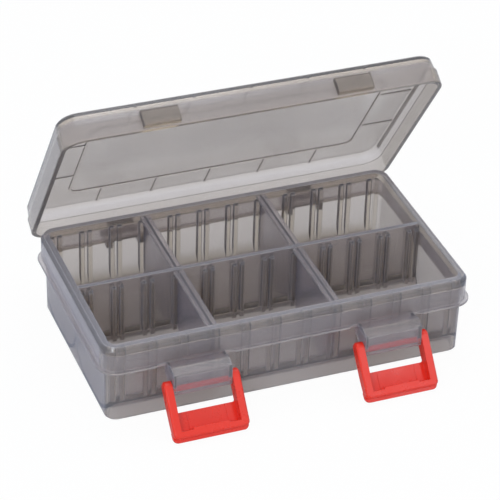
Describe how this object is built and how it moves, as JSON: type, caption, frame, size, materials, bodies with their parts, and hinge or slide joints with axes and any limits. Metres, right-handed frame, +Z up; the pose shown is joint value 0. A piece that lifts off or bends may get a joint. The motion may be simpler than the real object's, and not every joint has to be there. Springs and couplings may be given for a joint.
{
  "type": "lure box",
  "caption": "Deep tray with two rows of compartments, lift-out dividers, a hinged clear lid and swinging latches on the front.",
  "frame": {"origin": "on the plane of the tray's underside, under the middle of the tray", "axes": "+X along the box to the right, -Y towards the latch side, +Z up"},
  "size_m": [0.205, 0.1595, 0.1441],
  "materials": {
    "smoke_plastic": "gloss, smoke tinted, see-through",
    "smoke_plastic_lid": "gloss, smoke tinted, see-through",
    "divider_plastic": "gloss, smoke tinted, see-through",
    "red_plastic": "gloss red",
    "pin_plastic": "gloss, smoke tinted, see-through rod"
  },
  "bodies": {
    "tray": {"tray": "smoke_plastic", "hinge_pin_left": "pin_plastic", "hinge_pin_right": "pin_plastic"},
    "lid": {"lid": "smoke_plastic_lid"},
    "latch_left": {"latch_left": "red_plastic"},
    "latch_right": {"latch_right": "red_plastic"},
    "divider_rear_left": {"divider_rear_left": "divider_plastic"},
    "divider_rear_right": {"divider_rear_right": "divider_plastic"},
    "divider_front_left": {"divider_front_left": "divider_plastic"},
    "divider_front_right": {"divider_front_right": "divider_plastic"}
  },
  "joints": [
    {"name": "lid_hinge", "type": "hinge", "parent": "tray", "child": "lid", "pos_m": [0, 0.06472, 0.03165], "axis": [-1, 0, 0], "range_deg": [-55.8, 69.2]},
    {"name": "latch_left_swing", "type": "hinge", "parent": "tray", "child": "latch_left", "pos_m": [-0.0517, -0.0663, 0.022], "axis": [1, 0, 0], "range_deg": [-140.5, 50]},
    {"name": "latch_right_swing", "type": "hinge", "parent": "tray", "child": "latch_right", "pos_m": [0.0517, -0.0663, 0.022], "axis": [1, 0, 0], "range_deg": [-140.5, 50]},
    {"name": "divider_rear_left_lift", "type": "slide", "parent": "tray", "child": "divider_rear_left", "axis": [0, 0, 1], "range_m": [0, 0.026]},
    {"name": "divider_rear_right_lift", "type": "slide", "parent": "tray", "child": "divider_rear_right", "axis": [0, 0, 1], "range_m": [0, 0.026]},
    {"name": "divider_front_left_lift", "type": "slide", "parent": "tray", "child": "divider_front_left", "axis": [0, 0, 1], "range_m": [0, 0.06]},
    {"name": "divider_front_right_lift", "type": "slide", "parent": "tray", "child": "divider_front_right", "axis": [0, 0, 1], "range_m": [0, 0.06]}
  ]
}
